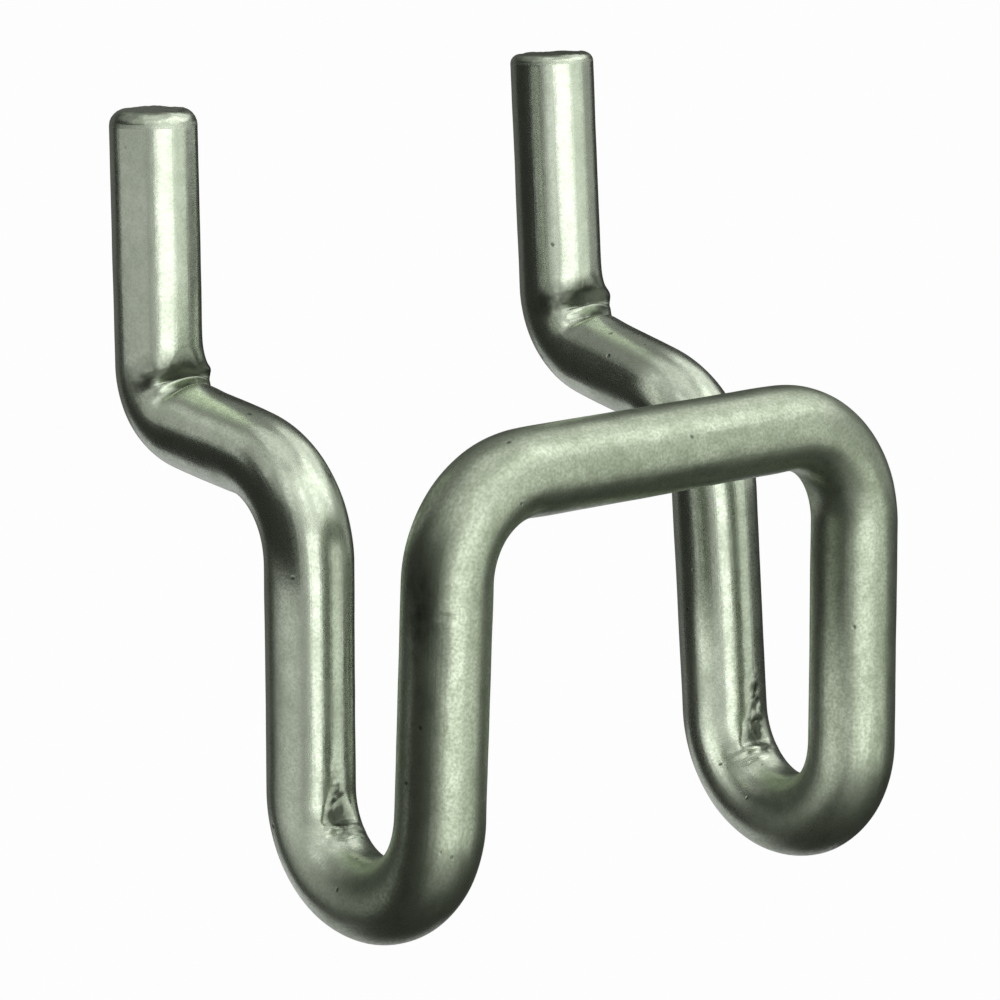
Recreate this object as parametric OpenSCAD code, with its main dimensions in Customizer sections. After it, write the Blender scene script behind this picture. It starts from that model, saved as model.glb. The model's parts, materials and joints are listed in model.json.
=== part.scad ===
// Double-arm pegboard hook, bent from one length of round wire.
// +X points to the right of someone facing the board, +Y goes into the board and +Z is up.
// The origin lies midway between the two back legs, level with the corners at their tops.

/* [Wire] */
// Diameter of the wire
wire_d = 4.1; // [3.6:0.1:4.4]
// Rounding left on the rim of each sheared end
end_round = 0.5; // [0.2:0.1:1]

/* [Board] */
// Distance between the two board holes, centre to centre
hole_pitch = 25.4; // [25.4:12.7:50.8]
// Clear gap for the board, between the prongs behind it and the back legs in front
board_gap = 6.4; // [6:0.1:8]

/* [Prongs and stubs] */
// Height of the prongs' ends above the tops of the back legs
prong_top = 16; // [12:0.5:25]
// Angle at which the prongs lean back, away from the board
prong_lean = 2.5; // [0:0.5:5]
// Height that each stub gains on its way back through the board
stub_rise = 1.7; // [0:0.1:2.5]
// Centreline radius of the bend from prong to stub
prong_bend_r = 3.3; // [2.6:0.1:3.6]
// Centreline radius of the bend from stub to back leg
leg_bend_r = 5; // [4:0.1:5.4]

/* [Front loop] */
// Depth of the U bends' lowest points, on the centreline, below the tops of the back legs
leg_drop = 19; // [15:0.5:40]
// Clear gap between the back leg and the front leg at the U bend
loop_gap = 4.8; // [3.6:0.1:6.5]
// Distance that the bottom of each back leg stands forward of its top
leg_lean = 0.6; // [0:0.1:1.5]
// Distance that each side splays outwards from its top to its U bend
side_splay = 0.6; // [0:0.1:2]
// Distance from the tops of the back legs forward to the crossbar, centre to centre
bar_reach = 9.7; // [9:0.1:11]
// Height of the crossbar's centre above the tops of the back legs
bar_height = 1; // [-2:0.1:4]
// Centreline radius of the bends at the crossbar's ends
bar_bend_r = 5; // [3:0.1:6]

/* [Hidden] */
$fn = 96;
// Bending stretches the wire, so it is a hair thinner in its bends
bend_thinning = 0.02;
// Each straight run reaches this far into the bends at its ends
run_overlap = 0.05;
// Short straight at the bottom of each U bend
u_flat = 0.3;
wire_r = wire_d / 2;
half_pitch = hole_pitch / 2;
prong_y = wire_d + board_gap;
prong_tip_y = prong_y + (prong_top - stub_rise) * tan(prong_lean);
u_back_y = -leg_lean;
u_front_y = u_back_y - loop_gap - wire_d;
u_x = half_pitch + side_splay;

// Corners of the right half's centreline before they are rounded, from the middle of the crossbar
// to the prong's end. Run i goes from corner i to corner i + 1.
corners = [
    [0, -bar_reach, bar_height],
    [half_pitch, -bar_reach, bar_height],
    [u_x, u_front_y, -leg_drop],
    [u_x, u_back_y, -leg_drop],
    [half_pitch, 0, 0],
    [half_pitch, prong_y, stub_rise],
    [half_pitch, prong_tip_y, prong_top]
];
front_leg = 1;
u_bottom = 2;
back_leg = 3;
stub = 4;
prong = 5;

// Direction of run i, and the angle that the wire turns through at corner i
function unit(v) = v / norm(v);
function run_dir(i) = unit(corners[i + 1] - corners[i]);
function turn(i) = acos(run_dir(i - 1) * run_dir(i));

// The two bends of a U share the run between them, but for its short flat
u_half_tangents = tan(turn(u_bottom) / 2) + tan(turn(back_leg) / 2);
u_bend_r = (norm(corners[back_leg] - corners[u_bottom]) - u_flat) / u_half_tangents;
bend_radii = [0, bar_bend_r, u_bend_r, u_bend_r, leg_bend_r, prong_bend_r, 0];

// Length that the bend at corner i takes off the run on each side of it
function trim(i) = bend_radii[i] == 0 ? 0 : bend_radii[i] * tan(turn(i) / 2);
function run_start(i) = corners[i] + run_dir(i) * trim(i);
function run_length(i) = norm(corners[i + 1] - corners[i]) - trim(i) - trim(i + 1);

// Turns its children, drawn along +Z, to the direction of run i and stands them at the run's start
module along_run(i) {
    dir = run_dir(i);
    translate(run_start(i))
        rotate([0, acos(dir.z), atan2(dir.y, dir.x)])
            children();
}

// Straight run i, reaching a little way into the bends at both its ends
module straight_run(i) {
    along_run(i)
        translate([0, 0, -run_overlap])
            cylinder(r = wire_r, h = run_length(i) + 2 * run_overlap);
}

// The prong: the last run, which ends sheared square with its rim rounded
module prong_run() {
    side_length = run_length(prong) - end_round;
    along_run(prong) {
        translate([0, 0, -run_overlap])
            cylinder(r = wire_r, h = side_length + run_overlap);
        translate([0, 0, side_length])
            rotate_extrude() {
                square([wire_r - end_round, end_round]);
                translate([wire_r - end_round, 0])
                    intersection() {
                        circle(r = end_round);
                        square(end_round);
                    }
            }
    }
}

// Bend at corner i: part of a ring whose own X axis points from its centre to the bend's start
module bend(i) {
    travel = run_dir(i - 1);
    inward = unit(run_dir(i) - travel * cos(turn(i)));
    centre = corners[i] - travel * trim(i) + inward * bend_radii[i];
    axis = cross(travel, inward);
    multmatrix([
        [-inward.x, travel.x, axis.x, centre.x],
        [-inward.y, travel.y, axis.y, centre.y],
        [-inward.z, travel.z, axis.z, centre.z],
        [0, 0, 0, 1]
    ])
        rotate_extrude(angle = turn(i))
            translate([bend_radii[i], 0])
                circle(r = wire_r - bend_thinning);
}

// Crossbar, which runs straight between the bends at the tops of the two front legs
module crossbar() {
    translate([0, -bar_reach, bar_height])
        rotate([0, 90, 0])
            cylinder(r = wire_r, h = 2 * (run_length(0) + run_overlap), center = true);
}

// Everything on the right of the crossbar, up to the prong's end
module right_side() {
    for (i = [front_leg:stub])
        straight_run(i);
    for (i = [front_leg:prong])
        bend(i);
    prong_run();
}

// The hook: one continuous wire, so one sub-part
module hook_wire() {
    color([0.72, 0.75, 0.71])
        union() {
            crossbar();
            right_side();
            mirror([1, 0, 0])
                right_side();
        }
}

hook_wire();
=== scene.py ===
import json
import math

import bmesh
import bpy
import numpy as np
from mathutils import Matrix, Vector, noise


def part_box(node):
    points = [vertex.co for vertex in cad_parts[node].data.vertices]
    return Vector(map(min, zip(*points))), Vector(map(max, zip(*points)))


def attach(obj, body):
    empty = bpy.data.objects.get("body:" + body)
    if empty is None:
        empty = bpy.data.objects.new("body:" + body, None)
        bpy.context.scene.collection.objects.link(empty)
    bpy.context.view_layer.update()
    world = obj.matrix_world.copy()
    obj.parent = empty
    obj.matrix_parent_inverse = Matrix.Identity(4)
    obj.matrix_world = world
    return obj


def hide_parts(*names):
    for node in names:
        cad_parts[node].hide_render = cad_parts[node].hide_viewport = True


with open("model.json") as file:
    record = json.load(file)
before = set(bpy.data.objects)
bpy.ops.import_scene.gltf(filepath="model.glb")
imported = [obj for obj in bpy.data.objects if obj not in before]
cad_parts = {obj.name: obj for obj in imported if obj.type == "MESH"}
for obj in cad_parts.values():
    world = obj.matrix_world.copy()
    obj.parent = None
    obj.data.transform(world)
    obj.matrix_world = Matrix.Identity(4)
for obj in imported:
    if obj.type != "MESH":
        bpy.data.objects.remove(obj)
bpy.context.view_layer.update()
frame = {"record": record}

# Double-arm pegboard hook, bent from one length of zinc-plated wire.
# The wire is worked on in millimetres, in the frame's own axes, and turned to metres at the end.
MM = 0.001

# ---------------------------------------------------------------------------------------------
# Sizes from the frame
# ---------------------------------------------------------------------------------------------
MOUNTS = {mount["name"]: mount for mount in frame["record"]["mounts"]}
LOW, HIGH = (np.array(corner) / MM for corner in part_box("hook_wire"))
WIRE_R = MOUNTS["prong_right"]["dims"]["r_mm"]
PRONG_POINT = np.array(MOUNTS["prong_right"]["pos_m"]) / MM
PRONG_AXIS = np.array(MOUNTS["prong_right"]["axis"])
HALF_PITCH = PRONG_POINT[0]
U_OUT = HIGH[0] - WIRE_R
LEG_DROP = -(LOW[2] + WIRE_R)
BAR_REACH = -(LOW[1] + WIRE_R)
BAR_HEIGHT = MOUNTS["tool_rest"]["pos_m"][2] / MM - WIRE_R
PRONG_TOP = 16.0
STUB_RISE = 1.7
LEG_LEAN = 0.6
LOOP_GAP = 4.8

# What the bender's hand left on each side, as small departures from the even shape, in millimetres.
# prong_back, tip_back: the prong's foot and end; tip_up: the end's height; rise: the stub; drop, lean: the
# back leg's foot; u_back_out, u_front_out: the two legs' feet; front_out, front_back: the front leg's top;
# bar_up: the crossbar's end; bend_radii: at the prong, the back leg and the crossbar; rim: rounding of the
# sheared end.
LEFT = dict(prong_back=0.2, tip_back=-0.2, tip_up=-0.2, rise=-0.2, drop=-0.3, lean=0.1, u_back_out=0.0,
            u_front_out=0.2, front_out=-0.1, front_back=0.1, bar_up=-0.2, bend_radii=(2.8, 4.9, 4.6),
            rim=0.75)
RIGHT = dict(prong_back=0.0, tip_back=0.2, tip_up=0.5, rise=0.6, drop=0.2, lean=-0.2, u_back_out=0.4,
             u_front_out=-0.2, front_out=0.1, front_back=0.0, bar_up=0.0, bend_radii=(3.5, 5.0, 5.2),
             rim=0.45)

# The two bends of a U fill this share of the run between them, and a short straight is left
U_FILL = 0.99

# Fineness of the wire's surface: rings along it and sides round it
RING_SPACING = 0.165
SIDES = 96
BEND_STEPS = 48
RIM_RINGS = 6
FACE_RINGS = 7

# How satin the plate on the sheared ends is
CAP_SATIN = 0.3


def unit(vector):
    return vector / np.linalg.norm(vector)


def side_corners(side, hand):
    """Corners of one side's centreline, from the prong's end to the crossbar. side is -1 or 1."""
    foot = PRONG_POINT + PRONG_AXIS * (STUB_RISE - PRONG_POINT[2]) / PRONG_AXIS[2]
    tip = PRONG_POINT + PRONG_AXIS * (PRONG_TOP - PRONG_POINT[2]) / PRONG_AXIS[2]
    u_back_y = -(LEG_LEAN + hand["lean"])
    u_front_y = u_back_y - LOOP_GAP - 2 * WIRE_R
    u_z = -(LEG_DROP + hand["drop"])
    corners = [
        [HALF_PITCH, tip[1] + hand["tip_back"], PRONG_TOP + hand["tip_up"]],
        [HALF_PITCH, foot[1] + hand["prong_back"], STUB_RISE + hand["rise"]],
        [HALF_PITCH, 0.0, 0.0],
        [U_OUT + hand["u_back_out"], u_back_y, u_z],
        [U_OUT + hand["u_front_out"], u_front_y, u_z],
        [HALF_PITCH + hand["front_out"], hand["front_back"] - BAR_REACH, BAR_HEIGHT + hand["bar_up"]],
    ]
    return np.array(corners) * np.array([side, 1.0, 1.0])


def side_radii(corners, hand):
    """Bend radii at those corners; the two bends of the U share the run between them."""
    prong_bend, leg_bend, bar_bend = hand["bend_radii"]
    u_width = np.linalg.norm(corners[4] - corners[3])
    half_tangents = sum(math.tan(turn_at(corners, i) / 2) for i in (3, 4))
    u_bend = U_FILL * u_width / half_tangents
    return [0.0, prong_bend, leg_bend, u_bend, u_bend, bar_bend]


def turn_at(corners, i):
    """Angle that the wire turns through at corner i."""
    return math.acos(np.clip(unit(corners[i] - corners[i - 1]) @ unit(corners[i + 1] - corners[i]), -1, 1))


LEFT_CORNERS = side_corners(-1, LEFT)
RIGHT_CORNERS = side_corners(1, RIGHT)
LEFT_RADII = side_radii(LEFT_CORNERS, LEFT)
RIGHT_RADII = side_radii(RIGHT_CORNERS, RIGHT)
CORNERS = np.concatenate([LEFT_CORNERS, RIGHT_CORNERS[::-1]])
RADII = LEFT_RADII + RIGHT_RADII[::-1]

# Places in CORNERS of the corners that carry marks
LEFT_PRONG_FOOT = 1
LEFT_U_BACK = 3
LEFT_U_FRONT = 4
BAR_LEFT = 5
BAR_RIGHT = 6
RIGHT_U_BACK = 8
RIGHT_PRONG_FOOT = 10


# ---------------------------------------------------------------------------------------------
# Node helper, colours
# ---------------------------------------------------------------------------------------------
def add(tree, kind, inputs=None, **settings):
    """Adds one node, with its settings, and links or sets its inputs by name or by place."""
    node = tree.nodes.new(kind)
    for name, value in settings.items():
        setattr(node, name, value)
    for key, value in (inputs or {}).items():
        if isinstance(value, bpy.types.NodeSocket):
            tree.links.new(value, node.inputs[key])
        else:
            node.inputs[key].default_value = value
    return node


def linear(hex_colour):
    """sRGB hex colour to the linear colour that Blender's sockets take."""
    values = [int(hex_colour[i:i + 2], 16) / 255 for i in (1, 3, 5)]
    return tuple(v / 12.92 if v <= 0.04045 else ((v + 0.055) / 1.055) ** 2.4 for v in values) + (1.0,)


# ---------------------------------------------------------------------------------------------
# Zinc-plated steel wire
# ---------------------------------------------------------------------------------------------
def zinc_plated_wire():
    """Bright zinc plate on drawn steel wire, electroplated after bending: a silvery metal with a faint
    green cast, crisp on the prongs and satin on the loop, with a fine crystal grain, streaks left by the
    drawing die, cloudy patches of thinner plate, and dull scuffs where the bending tools pressed, which
    also carry painted shade on the pressed flats and grooves inside the bends."""
    material = bpy.data.materials.new("zinc_plated_wire")
    material.use_nodes = True
    tree = material.node_tree
    tree.nodes.clear()
    # Place on the wire as if it were straight again, in millimetres: x and y across it, z along it
    straight = add(tree, "ShaderNodeAttribute", attribute_name="straightened").outputs["Vector"]
    satin = add(tree, "ShaderNodeAttribute", attribute_name="satin").outputs["Fac"]
    scuff = add(tree, "ShaderNodeAttribute", attribute_name="scuff").outputs["Fac"]

    def spots(size_mm, detail, stretch=1.0, rough=0.5):
        """Noise with features of about size_mm, drawn out along the wire by stretch."""
        place = add(tree, "ShaderNodeMapping",
                    {"Vector": straight, "Scale": (1 / size_mm, 1 / size_mm, 1 / (size_mm * stretch))})
        values = {"Vector": place.outputs[0], "Scale": 1.0, "Detail": detail, "Roughness": rough}
        return add(tree, "ShaderNodeTexNoise", values).outputs[0]

    def remap(value, low, high, to_low, to_high):
        return add(tree, "ShaderNodeMapRange",
                   {0: value, 1: low, 2: high, 3: to_low, 4: to_high}).outputs[0]

    def mix_colour(factor, first, second):
        node = add(tree, "ShaderNodeMix", {0: factor, 6: first, 7: second}, data_type="RGBA")
        return node.outputs[2]

    def combine(operation, first, second):
        return add(tree, "ShaderNodeMath", {0: first, 1: second}, operation=operation).outputs[0]

    # Plating crystals are a few hundredths of a millimetre; they are drawn at 0.13 mm so that they show
    grain = spots(0.13, 2.0)
    # Clouds of thinner plate, 1 to 3 mm across
    clouds = spots(1.6, 4.0, 1.6)
    blotches = spots(0.55, 3.0, 1.3)
    # Streaks from the drawing die, 0.2 mm apart and about 12 mm long
    streaks = spots(0.2, 3.0, 60.0)
    # Rare pits in the plate, about 0.2 mm across
    pits_place = add(tree, "ShaderNodeMapping", {"Vector": straight, "Scale": (0.55, 0.55, 0.55)})
    pits = add(tree, "ShaderNodeTexVoronoi", {"Vector": pits_place.outputs[0], "Scale": 1.0},
               feature="F1").outputs["Distance"]
    pit_mask = remap(pits, 0.03, 0.075, 1.0, 0.0)

    bright = mix_colour(satin, linear("#DEE7D5"), linear("#CAD4BF"))
    # The prongs sat behind the board and kept more of their plate
    worn = remap(satin, 0.0, 1.0, 0.4, 1.0)
    cloudy = combine("MULTIPLY", remap(clouds, 0.35, 0.65, 0.0, 1.0), worn)
    blotchy = combine("MULTIPLY", remap(blotches, 0.45, 0.7, 0.0, 0.45), worn)
    grainy = combine("MULTIPLY", remap(grain, 0.35, 0.7, 0.0, 0.6), worn)
    plate = mix_colour(cloudy, bright, linear("#B8C2AD"))
    plate = mix_colour(blotchy, plate, linear("#98A38C"))
    plate = mix_colour(grainy, plate, linear("#8E9A7E"))
    plate = mix_colour(combine("MULTIPLY", pit_mask, 0.7), plate, linear("#4B4F42"))
    # Dark colour for real tool scuffs and scars, and painted shade on the pressed flats and grooves inside
    # the bends
    patchy = combine("MULTIPLY", scuff, combine("ADD", blotches, 0.5))
    scuffed_and_shaded = remap(patchy, 0.2, 0.75, 0.0, 0.9)
    plate = mix_colour(scuffed_and_shaded, plate, linear("#43483C"))

    roughness = remap(satin, 0.0, 1.0, 0.24, 0.36)
    roughness = combine("ADD", roughness, remap(clouds, 0.3, 0.7, -0.03, 0.05))
    roughness = combine("ADD", roughness, remap(grain, 0.3, 0.7, -0.03, 0.05))
    roughness = combine("ADD", roughness, combine("MULTIPLY", scuffed_and_shaded, 0.12))

    height = combine("MULTIPLY", grain, 0.35)
    height = combine("ADD", height, combine("MULTIPLY", streaks, 0.55))
    height = combine("ADD", height, combine("MULTIPLY", blotches, 0.8))
    height = combine("SUBTRACT", height, combine("MULTIPLY", pit_mask, 1.6))
    # Bump heights are in units of 0.02 mm
    bump = add(tree, "ShaderNodeBump", {"Strength": 0.5, "Distance": 0.02 * MM, "Height": height})
    shader = add(tree, "ShaderNodeBsdfPrincipled",
                 {"Base Color": plate, "Metallic": 1.0, "Roughness": roughness, "Normal": bump.outputs[0]})
    add(tree, "ShaderNodeOutputMaterial", {"Surface": shader.outputs[0]})
    return material


# ---------------------------------------------------------------------------------------------
# The wire, bent round its corners
# ---------------------------------------------------------------------------------------------
def bent_wire_tree(material):
    """Geometry Nodes: rounds the corners of a polyline and runs a round wire along it."""
    tree = bpy.data.node_groups.new("Bent wire", "GeometryNodeTree")
    face = tree.interface
    face.new_socket("Geometry", in_out="INPUT", socket_type="NodeSocketGeometry")
    for name, kind in (("Wire Radius", "NodeSocketFloat"), ("Ring Spacing", "NodeSocketFloat"),
                       ("Sides", "NodeSocketInt"), ("Bend Steps", "NodeSocketInt")):
        face.new_socket(name, in_out="INPUT", socket_type=kind)
    face.new_socket("Geometry", in_out="OUTPUT", socket_type="NodeSocketGeometry")
    given = add(tree, "NodeGroupInput").outputs
    polyline = add(tree, "GeometryNodeMeshToCurve", {"Mesh": given["Geometry"]})
    bend_radius = add(tree, "GeometryNodeInputNamedAttribute", {"Name": "bend_radius"}, data_type="FLOAT")
    rounded = add(tree, "GeometryNodeFilletCurve",
                  {"Curve": polyline.outputs[0], "Radius": bend_radius.outputs["Attribute"],
                   "Count": given["Bend Steps"]}, mode="POLY")
    stations = add(tree, "GeometryNodeResampleCurve",
                   {"Curve": rounded.outputs[0], "Length": given["Ring Spacing"]}, mode="LENGTH")
    centreline = stations.outputs[0]
    place = add(tree, "GeometryNodeInputPosition").outputs[0]
    heading = add(tree, "GeometryNodeInputTangent").outputs[0]
    length = add(tree, "GeometryNodeSplineParameter").outputs["Length"]
    for name, kind, value in (("centre", "FLOAT_VECTOR", place), ("heading", "FLOAT_VECTOR", heading),
                              ("along", "FLOAT", length)):
        stored = add(tree, "GeometryNodeStoreNamedAttribute",
                     {"Geometry": centreline, "Name": name, "Value": value}, data_type=kind, domain="POINT")
        centreline = stored.outputs[0]
    circle = add(tree, "GeometryNodeCurvePrimitiveCircle",
                 {"Resolution": given["Sides"], "Radius": given["Wire Radius"]})
    turn = add(tree, "GeometryNodeSplineParameter").outputs["Factor"]
    profile = add(tree, "GeometryNodeStoreNamedAttribute",
                  {"Geometry": circle.outputs[0], "Name": "around", "Value": turn},
                  data_type="FLOAT", domain="POINT")
    wire = add(tree, "GeometryNodeCurveToMesh", {"Curve": centreline, "Profile Curve": profile.outputs[0]})
    solid = add(tree, "GeometryNodeRealizeInstances", {"Geometry": wire.outputs[0]})
    finished = add(tree, "GeometryNodeSetMaterial", {"Geometry": solid.outputs[0], "Material": material})
    add(tree, "NodeGroupOutput", {0: finished.outputs[0]})
    return tree


def set_input(modifier, name, value):
    socket = next(item for item in modifier.node_group.interface.items_tree
                  if item.name == name and item.in_out == "INPUT")
    modifier[socket.identifier] = value


def sweep_wire(material):
    """The plain round wire along CORNERS, as a mesh with its attributes, in millimetres."""
    first_trim = unit(CORNERS[1] - CORNERS[0]) * LEFT["rim"]
    last_trim = unit(CORNERS[-2] - CORNERS[-1]) * RIGHT["rim"]
    points = CORNERS.copy()
    points[0] += first_trim
    points[-1] += last_trim
    mesh = bpy.data.meshes.new("wire_corners")
    mesh.from_pydata([tuple(p) for p in points], [(i, i + 1) for i in range(len(points) - 1)], [])
    radius = mesh.attributes.new("bend_radius", "FLOAT", "POINT")
    radius.data.foreach_set("value", RADII)
    host = bpy.data.objects.new("wire_corners", mesh)
    bpy.context.scene.collection.objects.link(host)
    modifier = host.modifiers.new("Bent wire", "NODES")
    modifier.node_group = bent_wire_tree(material)
    for name, value in (("Wire Radius", WIRE_R), ("Ring Spacing", RING_SPACING), ("Sides", SIDES),
                        ("Bend Steps", BEND_STEPS)):
        set_input(modifier, name, value)
    bpy.context.view_layer.update()
    evaluated = host.evaluated_get(bpy.context.evaluated_depsgraph_get())
    swept = bpy.data.meshes.new_from_object(evaluated)
    bpy.data.objects.remove(host)
    return swept


def read(mesh, name, width):
    """One attribute of the mesh's points as an array."""
    data = mesh.attributes[name].data
    values = np.zeros(len(data) * width)
    data.foreach_get("vector" if width == 3 else "value", values)
    return values.reshape(-1, width) if width == 3 else values


# ---------------------------------------------------------------------------------------------
# What the bending tools and the years left on it
# ---------------------------------------------------------------------------------------------
# How far a bend widens the wire across itself, and thins it the other way, in millimetres
BEND_SQUEEZE = 0.05
# Offset from a place on the wire to a far point at the hook's front left, in millimetres. Some marks sit on
# the side of the wire that faces it.
FRONT_LEFT = np.array([-66.9, -74.3, 0])


def bump_at(distance, width):
    """1 at distance 0, falling smoothly to nothing past a few widths."""
    return np.exp(-(distance / width) ** 2)


def fade(distance, width):
    """1 well before distance 0, falling smoothly to 0 past it."""
    return 1 / (1 + np.exp(distance / width))


def raised(u, a, height, place, length, width, angle=0):
    """Metal raised by height at a place along the wire and at an angle round it, fading over length and
    width. u and length are in millimetres, a, angle and width in degrees."""
    return height * bump_at(u - place, length) * bump_at(a - angle, width)


def bend_frame(i):
    """Centre, axis, middle and half length of the bend at corner i."""
    before, after = unit(CORNERS[i] - CORNERS[i - 1]), unit(CORNERS[i + 1] - CORNERS[i])
    turn = math.acos(before @ after)
    inward = unit(after - before)
    centre = CORNERS[i] + inward * RADII[i] / math.cos(turn / 2)
    return {"centre": centre, "axis": unit(np.cross(before, after)), "middle": centre - inward * RADII[i],
            "half": RADII[i] * turn / 2}


class Surface:
    """The wire's points, with each one's place along it and its own outward direction."""

    def __init__(self, mesh):
        self.points = read(mesh, "position", 3)
        self.centre = read(mesh, "centre", 3)
        self.heading = read(mesh, "heading", 3)
        self.along = read(mesh, "along", 1)
        self.around = read(mesh, "around", 1)
        radial = self.points - self.centre
        self.outward = radial / np.linalg.norm(radial, axis=1)[:, None]
        self.heading /= np.linalg.norm(self.heading, axis=1)[:, None]
        self.scuff = np.zeros(len(self.points))
        self.push = np.zeros(len(self.points))

    def along_at(self, place):
        """Length along the wire of the station nearest to a place on the centreline."""
        return self.along[np.argmin(((self.centre - place) ** 2).sum(1))]

    def angle_from(self, target):
        """Signed angle of each point round the wire from the direction of a target, in degrees."""
        towards = target - self.centre
        towards -= (towards * self.heading).sum(1)[:, None] * self.heading
        towards /= np.linalg.norm(towards, axis=1)[:, None] + 1e-9
        side = np.cross(self.heading, towards)
        return np.degrees(np.arctan2((self.outward * side).sum(1), (self.outward * towards).sum(1)))


def flatten_bends(surface):
    """Bending squeezes the wire's inside and stretches its outside, so it widens across the bend."""
    for i in range(1, len(CORNERS) - 1):
        bend = bend_frame(i)
        t = np.abs(surface.along - surface.along_at(bend["middle"]))
        weight = fade(t - bend["half"], 0.35)
        across = np.abs(surface.outward @ bend["axis"])
        surface.push += weight * (BEND_SQUEEZE * across ** 2 - BEND_SQUEEZE * (1 - across ** 2))


def fine_noise(points, size, seed):
    """Smooth noise from -1 to 1 over points, with features of about size."""
    offset = Vector((seed * 7.3, seed * 3.1, seed * 5.7))
    return np.array([noise.noise(Vector(p) / size + offset) for p in points])


def pinch(surface, corner, prong_sign):
    """The anvil's edge in the inside of the bend between prong and stub: a flat pressed into the prong's
    foot, metal squeezed out to both sides of it, a sharp lip, and a groove in the start of the stub."""
    bend = bend_frame(corner)
    t = (surface.along - surface.along_at(bend["middle"])) * prong_sign
    angle = surface.angle_from(bend["centre"])
    near = (np.abs(t) < 5) & (np.abs(angle) < 120)
    a, u = angle[near], t[near]
    # The flat is a plane that cuts the prong's round side, deepest at the crease
    crease_start = 0.35
    crease_depth = 0.62
    crease_slope = 0.24
    depth = np.clip(crease_depth - crease_slope * (u - crease_start), 0, None) * (u > crease_start)
    flat = np.maximum(WIRE_R * np.cos(np.radians(a)) - (WIRE_R - depth), 0)
    squeezed = raised(u, np.abs(a), height=0.34, place=1.35, length=0.95, width=22, angle=47)
    lip = raised(u, a, height=0.20, place=0.05, length=0.30, width=42)
    groove = raised(u, a, height=-0.30, place=-0.85, length=0.42, width=38)
    swell = raised(u, a, height=0.10, place=-2.0, length=0.8, width=45)
    surface.push[near] += squeezed + lip + groove + swell - 0.8 * flat * (np.abs(a) < 60)
    # The flat and the groove are darkened in colour: partly rubbed plate, partly painted shade in the crease
    # of the bend
    rubbed_and_shaded_flat = raised(u, a, height=1.1, place=1.5, length=1.2, width=80)
    rubbed_and_shaded_groove = raised(u, a, height=0.8, place=-0.8, length=0.5, width=45)
    surface.scuff[near] += rubbed_and_shaded_flat + rubbed_and_shaded_groove


def die_flat(surface, u_bend, travel, depth, seed):
    """The flat that the bending die pressed where a back leg turns into its U: a wedge with its point up
    the leg, and two low ridges across its lower edge."""
    start = u_bend["middle"] + np.array([0, 0.9, 1.0])
    u = (surface.along_at(start) - surface.along) * travel
    angle = surface.angle_from(u_bend["centre"])
    near = (np.abs(u) < 4) & (np.abs(angle) < 90)
    u, a = u[near], angle[near]
    rough = fine_noise(surface.points[near], 0.6, seed)
    upper = np.clip(1 - (0.4 + 0.35 * rough - u) / 2.8, 0, 1)
    reach = upper * fade(u - 0.4 - 0.2 * rough, 0.16)
    flat = np.maximum(WIRE_R * np.cos(np.radians(a)) - (WIRE_R - depth * reach), 0)
    ridge = raised(u, a, height=0.10, place=0.75 + 0.2 * rough, length=0.25, width=34)
    second = raised(u, a, height=0.06, place=1.5 + 0.3 * rough, length=0.2, width=24, angle=-8)
    grain = 0.02 * rough * bump_at(a, 40) * bump_at(u, 1.6)
    surface.push[near] += ridge + second - 0.9 * flat + grain
    # The pressed flat is darkened in colour as painted shade inside the U's bend; the torn plate round it is
    # a real scuff
    torn = (0.3 + 0.5 * rough) * bump_at(a, 36) * bump_at(u - 0.6, 1.4)
    surface.scuff[near] += np.clip(3.0 * flat + torn, 0, 1)


def die_mark(surface, place, target, length, width, depth, lip, turn, scuff):
    """A dent pressed into the wire near a place on the centreline, on the side that faces a target,
    turned round the wire by some degrees, with a lip of metal pushed up round it."""
    t = surface.along - surface.along_at(np.array(place))
    b = np.radians(surface.angle_from(np.array(target)) - turn) * WIRE_R
    b = (b + math.pi * WIRE_R) % (2 * math.pi * WIRE_R) - math.pi * WIRE_R
    r = np.sqrt((t / length) ** 2 + (b / width) ** 2)
    surface.push += -depth * bump_at(r, 0.8) + lip * depth * bump_at(r - 1.25, 0.35)
    surface.scuff += scuff * bump_at(r, 1.2)


def scar(surface, start, end, target, turn, width, depth, seed, stain=1.0):
    """A torn, pitted streak along the wire, where a rough die dragged."""
    first, last = sorted((surface.along_at(np.array(start)), surface.along_at(np.array(end))))
    middle, half = (first + last) / 2, (last - first) / 2
    t = surface.along - middle
    b = np.radians(surface.angle_from(np.array(target)) - turn) * WIRE_R
    mask = bump_at(b, width) * fade(np.abs(t) - half, 0.3)
    near = mask > 0.02
    rough = fine_noise(surface.points[near], 0.5, seed)
    rough += 1.1 * fine_noise(surface.points[near], 0.23, seed + 1)
    surface.push[near] += mask[near] * depth * (rough - 0.4)
    surface.scuff[near] += stain * mask[near] * np.clip(0.4 + rough, 0, 1)


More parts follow.
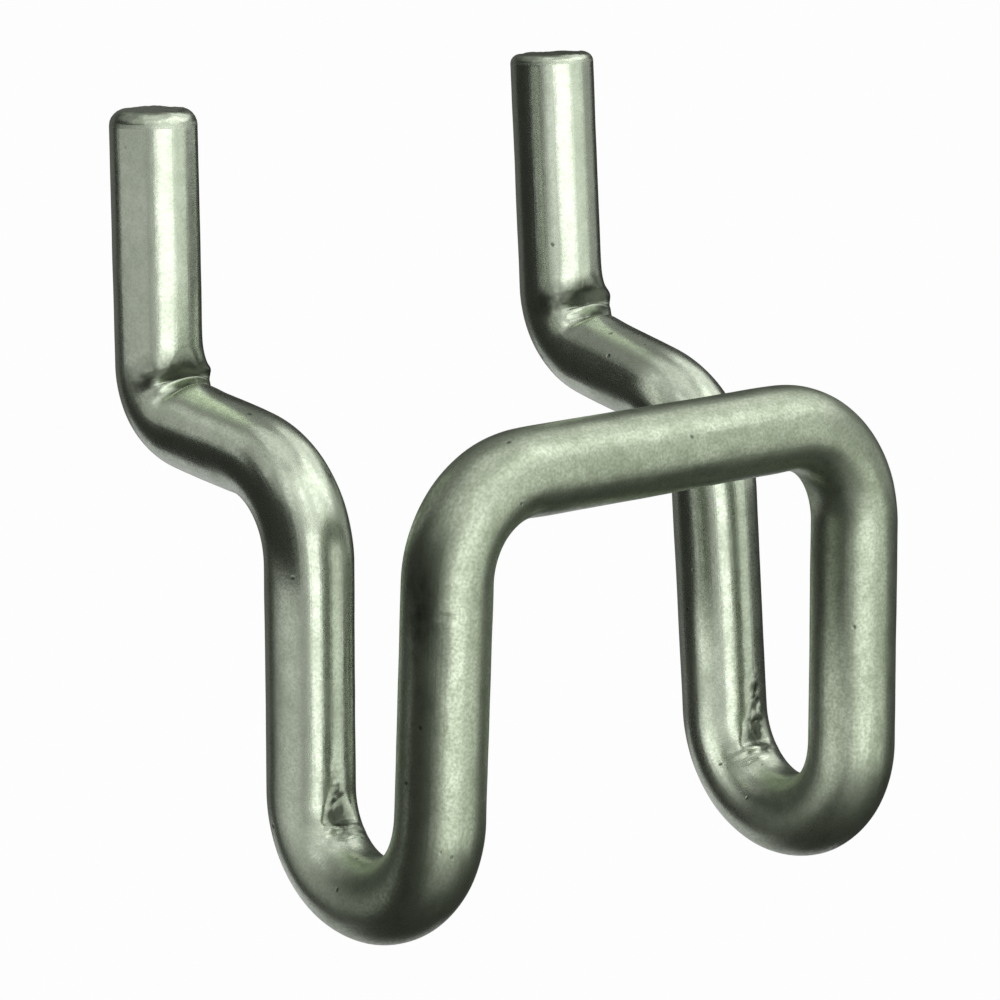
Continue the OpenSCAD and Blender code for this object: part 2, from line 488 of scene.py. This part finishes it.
def wear(surface):
    """Marks of making and use over the whole wire."""
    flatten_bends(surface)
    pinch(surface, LEFT_PRONG_FOOT, -1)
    pinch(surface, RIGHT_PRONG_FOOT, 1)
    left_u = bend_frame(LEFT_U_BACK)
    right_u = bend_frame(RIGHT_U_BACK)
    die_flat(surface, left_u, -1, depth=0.34, seed=2)
    die_flat(surface, right_u, 1, depth=0.26, seed=6)
    right_start = CORNERS[RIGHT_U_BACK] + np.array([0, 0, 6.5])
    scar(surface, right_start, right_u["middle"], right_u["centre"], turn=8, width=0.42, depth=0.085, seed=5)
    left_start = CORNERS[LEFT_U_BACK] + np.array([0, 0, 5.5])
    scar(surface, left_start, left_u["middle"], left_u["centre"], turn=4, width=0.4, depth=0.06, seed=9)
    # A nick and a shallow flat on the left front leg, where it was gripped, and a rubbed patch beside them
    leg_middle = (CORNERS[LEFT_U_FRONT] + CORNERS[BAR_LEFT]) / 2
    leg_side = leg_middle + FRONT_LEFT
    nick = leg_middle + np.array([0, 0, 4.3])
    die_mark(surface, nick, leg_side, length=0.25, width=0.7, depth=0.05, lip=0.25, turn=4, scuff=0.25)
    gripped = leg_middle + np.array([0, 0, 2.6])
    die_mark(surface, gripped, leg_side, length=1.5, width=0.9, depth=0.07, lip=0.2, turn=-12, scuff=0.15)
    rubbed = leg_middle + np.array([0, 0, 4.6])
    die_mark(surface, rubbed, leg_side, length=1.9, width=0.8, depth=0.03, lip=0.0, turn=-38, scuff=0.55)
    # Fine pits on the right half of the crossbar
    pits_start = CORNERS[BAR_RIGHT] * np.array([0.35, 1, 1])
    pits_end = CORNERS[BAR_RIGHT] - np.array([4.5, 0, 0])
    pits_side = pits_start + FRONT_LEFT + np.array([0, 0, 40])
    scar(surface, pits_start, pits_end, pits_side, turn=0, width=0.9, depth=0.02, seed=13, stain=0.2)
    # The wire is nowhere quite even: it sways over some millimetres and is finely uneven round itself
    sway = fine_noise(surface.centre[::SIDES], 5.0, 3)
    surface.push += 0.025 * np.repeat(sway, SIDES)
    surface.push += 0.010 * fine_noise(surface.points, 1.6, 11)


def close_end(bm, ring, centre, outward, rim, seed):
    """Rounds the rim of a sheared end and closes its flat face, with the slight roughness of the shear."""
    rings = [ring]
    spots = [vert.co.copy() for vert in ring]
    steps = []
    for k in range(1, RIM_RINGS + 1):
        turn = math.pi / 2 * k / RIM_RINGS
        steps.append((rim * math.sin(turn), (WIRE_R - rim + rim * math.cos(turn)) / WIRE_R))
    flat = steps[-1][1]
    steps += [(rim, flat * (1 - k / FACE_RINGS)) for k in range(1, FACE_RINGS)]
    for lift, scale in steps:
        new_ring = []
        for spot in spots:
            place = centre + (spot - centre) * scale + outward * lift
            rough = noise.noise(place * 1.3 + Vector((seed, 0, 0)))
            rough += 0.4 * noise.noise(place * 5 + Vector((0, seed, 0)))
            new_ring.append(bm.verts.new(place + outward * 0.05 * rough * min(1, lift / rim)))
        rings.append(new_ring)
    for inner, outer in zip(rings[1:], rings[:-1]):
        for k in range(len(inner)):
            bm.faces.new((outer[k - 1], outer[k], inner[k], inner[k - 1]))
    tip = bm.verts.new(centre + outward * rim)
    last = rings[-1]
    for k in range(len(last)):
        bm.faces.new((last[k - 1], last[k], tip))


def hook_wire():
    """The whole hook: one wire from sheared end to sheared end."""
    mesh = sweep_wire(zinc_plated_wire())
    surface = Surface(mesh)
    wear(surface)
    points = surface.points + surface.outward * surface.push[:, None]
    mesh.attributes["position"].data.foreach_set("vector", points.ravel())
    turn = surface.around * 2 * math.pi
    straight = np.stack([np.cos(turn) * WIRE_R, np.sin(turn) * WIRE_R, surface.along], axis=1)
    # Fully satin in front of y = -4 mm and slightly satin below z = 3 mm, so the prongs are the crispest
    satin = fade(surface.centre[:, 1] + 4.0, 1.2)
    satin = np.maximum(satin, 0.2 * fade(surface.centre[:, 2] - 3.0, 1.2))
    mesh.attributes.new("straightened", "FLOAT_VECTOR", "POINT").data.foreach_set("vector", straight.ravel())
    mesh.attributes.new("satin", "FLOAT", "POINT").data.foreach_set("value", satin)
    # Real tool scuffs and scars, with painted shade on the pressed flats and grooves inside the bends
    mesh.attributes.new("scuff", "FLOAT", "POINT").data.foreach_set("value", np.clip(surface.scuff, 0, 1))

    bm = bmesh.new()
    bm.from_mesh(mesh)
    bm.verts.ensure_lookup_table()
    edges = [edge for edge in bm.edges if edge.is_boundary]
    loops = boundary_rings(edges)
    for loop in loops:
        centre = sum((vert.co for vert in loop), Vector()) / len(loop)
        left = centre.x < 0
        tip, foot = (CORNERS[0], CORNERS[1]) if left else (CORNERS[-1], CORNERS[-2])
        rim = LEFT["rim"] if left else RIGHT["rim"]
        seed = 3.7 if left else 8.2
        close_end(bm, loop, centre, Vector(unit(tip - foot)), rim, seed)
    fill_cap_attributes(bm)
    bmesh.ops.recalc_face_normals(bm, faces=bm.faces)
    for face in bm.faces:
        face.smooth = True
    bm.to_mesh(mesh)
    bm.free()
    mesh.transform(Matrix.Scale(MM, 4))
    for name in ("centre", "heading", "along", "around"):
        if name in mesh.attributes:
            mesh.attributes.remove(mesh.attributes[name])
    piece = bpy.data.objects.new("zinc_wire_hook", mesh)
    bpy.context.scene.collection.objects.link(piece)
    return piece


def boundary_rings(edges):
    """The open ends' rings of points, each in order."""
    links = {}
    for edge in edges:
        for vert, other in (edge.verts, reversed(edge.verts)):
            links.setdefault(vert, []).append(other)
    rings, seen = [], set()
    for start in links:
        if start in seen:
            continue
        ring, here, before = [], start, None
        while here not in seen:
            seen.add(here)
            ring.append(here)
            after = next((v for v in links[here] if v is not before and v not in seen), None)
            before, here = here, after if after is not None else here
        rings.append(ring)
    return rings


def fill_cap_attributes(bm):
    """Points of the closed ends take their place on the straightened wire from where they are."""
    straight = bm.verts.layers.float_vector["straightened"]
    satin = bm.verts.layers.float["satin"]
    for vert in bm.verts:
        if vert[straight].length == 0:
            vert[straight] = vert.co
            vert[satin] = CAP_SATIN


# ---------------------------------------------------------------------------------------------
# Stage, light and camera
# ---------------------------------------------------------------------------------------------
CAMERA_AZIMUTH = -42.0
CAMERA_ELEVATION = 10.6
CAMERA_ROLL = -0.19
CAMERA_DISTANCE = 0.262
CAMERA_AIM = Vector((-1.0, 0.0, -2.62)) * MM
SENSOR = 36.0
LENS = 201.4
# The floor lies below the hook, flat out to a radius, then curves up a cove to its wall, in metres
FLOOR_DEPTH = 70 * MM
FLOOR_RADIUS = 2.2
COVE_RADIUS = 0.8
WALL_HEIGHT = 3.0


def direction(azimuth, elevation):
    """Direction to a place round the object: azimuth 0 is straight in front, positive to the right."""
    a, e = math.radians(azimuth), math.radians(elevation)
    return Vector((math.sin(a) * math.cos(e), -math.cos(a) * math.cos(e), math.sin(e)))


def add_camera():
    back = direction(CAMERA_AZIMUTH, CAMERA_ELEVATION)
    right = direction(CAMERA_AZIMUTH + 90, 0)
    up = back.cross(right)
    roll = math.radians(CAMERA_ROLL)
    across = right * math.cos(roll) + up * math.sin(roll)
    upright = up * math.cos(roll) - right * math.sin(roll)
    data = bpy.data.cameras.new("camera")
    data.sensor_width = SENSOR
    data.lens = LENS
    data.clip_start = 0.01
    data.clip_end = 20.0
    camera = bpy.data.objects.new("camera", data)
    turn = Matrix((across, upright, back)).transposed().to_4x4()
    camera.matrix_world = Matrix.Translation(CAMERA_AIM + back * CAMERA_DISTANCE) @ turn
    bpy.context.scene.collection.objects.link(camera)
    bpy.context.scene.camera = camera


# Softboxes round the hook: azimuth from the camera's side, elevation, distance, width and height in
# metres, radiance, colour. The key makes the white stripe down each upright run, and the gap on the
# left stays dark.
SOFTBOXES = {
    "key": (28, -3, 0.5, 0.42, 0.49, 1.75, "#FFFFFF"),
    "key_shoulder": (-6, 0, 0.5, 0.21, 0.47, 0.40, "#FFFFFF"),
    "right_fill": (72, -2, 0.5, 0.38, 0.52, 0.88, "#FBFEF8"),
    "far_right_fill": (113, 16, 0.5, 0.35, 0.4, 0.42, "#FFFFFF"),
    "top_front": (0, 45, 0.5, 0.364, 0.344, 0.72, "#FFFFFF"),
    "top_key": (40, 45, 0.5, 0.364, 0.344, 1.0, "#FFFFFF"),
    "top_right": (80, 45, 0.5, 0.364, 0.344, 1.1, "#FFFFFF"),
    "top_left": (-42, 47, 0.5, 0.364, 0.344, 0.34, "#FFFFFF"),
    "overhead": (0, 89, 0.5, 0.36, 0.36, 0.9, "#FFFFFF"),
    "top_far_right": (125, 45, 0.5, 0.466, 0.344, 0.92, "#FFFFFF"),
    "top_back": (180, 50, 0.5, 0.577, 0.315, 0.2, "#FFFFFF"),
    "top_back_left": (-90, 50, 0.5, 0.577, 0.315, 0.22, "#FFFFFF"),
    "low_front": (30, -45, 0.5, 0.5, 0.268, 0.24, "#FFFFFF"),
    "low_back": (-158, -36, 0.5, 0.55, 0.28, 0.55, "#FAF8FF"),
    "left_back": (-150, 0, 0.5, 0.5, 0.4, 0.1, "#FFFFFF"),
}


# Cards close to the hook: place in millimetres, direction that it faces, width and height in millimetres,
# radiance, and spread in degrees. Each one lights the left side of one stretch of the wire.
CARDS = {
    "left_prong_card": ((-20.2, 12, 9.4), (1, 0, 0), 12, 14.2, 0.46, 180),
    "left_leg_card": ((-20.5, 2, -14), (1, 0, 0), 14, 17, 0.27, 120),
    "right_prong_card": ((4.3, 5.6, 9), (0.84, 0.54, 0), 5, 18, 0.5, 180),
    "between_card": ((0, -7.5, -19.5), (1, 0, 0), 25, 13.2, 0.32, 100),
}


def add_softbox(name, azimuth, elevation, distance, width, height, radiance, colour):
    """A flat soft light that faces the hook and isn't seen itself."""
    data = bpy.data.lights.new(name, "AREA")
    data.shape = "RECTANGLE"
    data.size = width
    data.size_y = height
    data.energy = radiance * math.pi * width * height
    data.color = linear(colour)[:3]
    light = bpy.data.objects.new(name, data)
    light.visible_camera = False
    place = direction(CAMERA_AZIMUTH + azimuth, elevation) * distance
    light.matrix_world = Matrix.Translation(place) @ place.to_track_quat("Z", "Y").to_matrix().to_4x4()
    bpy.context.scene.collection.objects.link(light)


def add_card(name, place_mm, facing, width_mm, height_mm, radiance, spread):
    """A small glowing white card close to the hook, which lights one run of it and isn't seen itself."""
    data = bpy.data.lights.new(name, "AREA")
    data.shape = "RECTANGLE"
    data.size = width_mm * MM
    data.size_y = height_mm * MM
    data.energy = radiance * math.pi * data.size * data.size_y
    data.spread = math.radians(spread)
    card = bpy.data.objects.new(name, data)
    card.visible_camera = False
    turn = Vector(facing).to_track_quat("-Z", "Y").to_matrix().to_4x4()
    card.matrix_world = Matrix.Translation(Vector(place_mm) * MM) @ turn
    bpy.context.scene.collection.objects.link(card)


def add_stage():
    """A plain pale floor well below the hook, which hangs as it would on its board, with a coved edge."""
    profile = [(0.0, 0.0), (FLOOR_RADIUS, 0.0)]
    for degrees in range(10, 91, 10):
        a = math.radians(degrees)
        profile.append((FLOOR_RADIUS + COVE_RADIUS * math.sin(a), COVE_RADIUS - COVE_RADIUS * math.cos(a)))
    profile.append((FLOOR_RADIUS + COVE_RADIUS, WALL_HEIGHT))
    bm = bmesh.new()
    points = [bm.verts.new((radius, 0, height - FLOOR_DEPTH)) for radius, height in profile]
    edges = [bm.edges.new(pair) for pair in zip(points[:-1], points[1:])]
    bmesh.ops.spin(bm, geom=points + edges, axis=(0, 0, 1), cent=(0, 0, 0), angle=2 * math.pi, steps=64)
    bmesh.ops.remove_doubles(bm, verts=bm.verts, dist=1e-5)
    bmesh.ops.recalc_face_normals(bm, faces=bm.faces)
    for face in bm.faces:
        face.smooth = True
    mesh = bpy.data.meshes.new("pale_floor")
    bm.to_mesh(mesh)
    bm.free()
    mesh.materials.append(pale_paper())
    floor = bpy.data.objects.new("pale_floor", mesh)
    floor.visible_glossy = False
    floor.visible_shadow = False
    bpy.context.scene.collection.objects.link(floor)


def pale_paper():
    """White background paper, evenly lit from behind, so it reads as plain white."""
    material = bpy.data.materials.new("pale_paper")
    material.use_nodes = True
    material.cycles.emission_sampling = "NONE"
    tree = material.node_tree
    tree.nodes.clear()
    glow = add(tree, "ShaderNodeEmission", {"Color": linear("#FDFDFD"), "Strength": 1.0})
    add(tree, "ShaderNodeOutputMaterial", {"Surface": glow.outputs[0]})
    return material


def add_room():
    """The dim, faintly green room that the metal's dark parts reflect."""
    world = bpy.data.worlds.new("room")
    bpy.context.scene.world = world
    world.use_nodes = True
    background = world.node_tree.nodes["Background"]
    background.inputs["Color"].default_value = linear("#EEF3EA")
    background.inputs["Strength"].default_value = 0.035


def add_lights():
    for name, values in SOFTBOXES.items():
        add_softbox(name, *values)
    for name, values in CARDS.items():
        add_card(name, *values)


piece = hook_wire()
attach(piece, "root")
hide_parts("hook_wire")
add_camera()
add_stage()
add_room()
add_lights()
bpy.context.scene.view_settings.view_transform = "Standard"
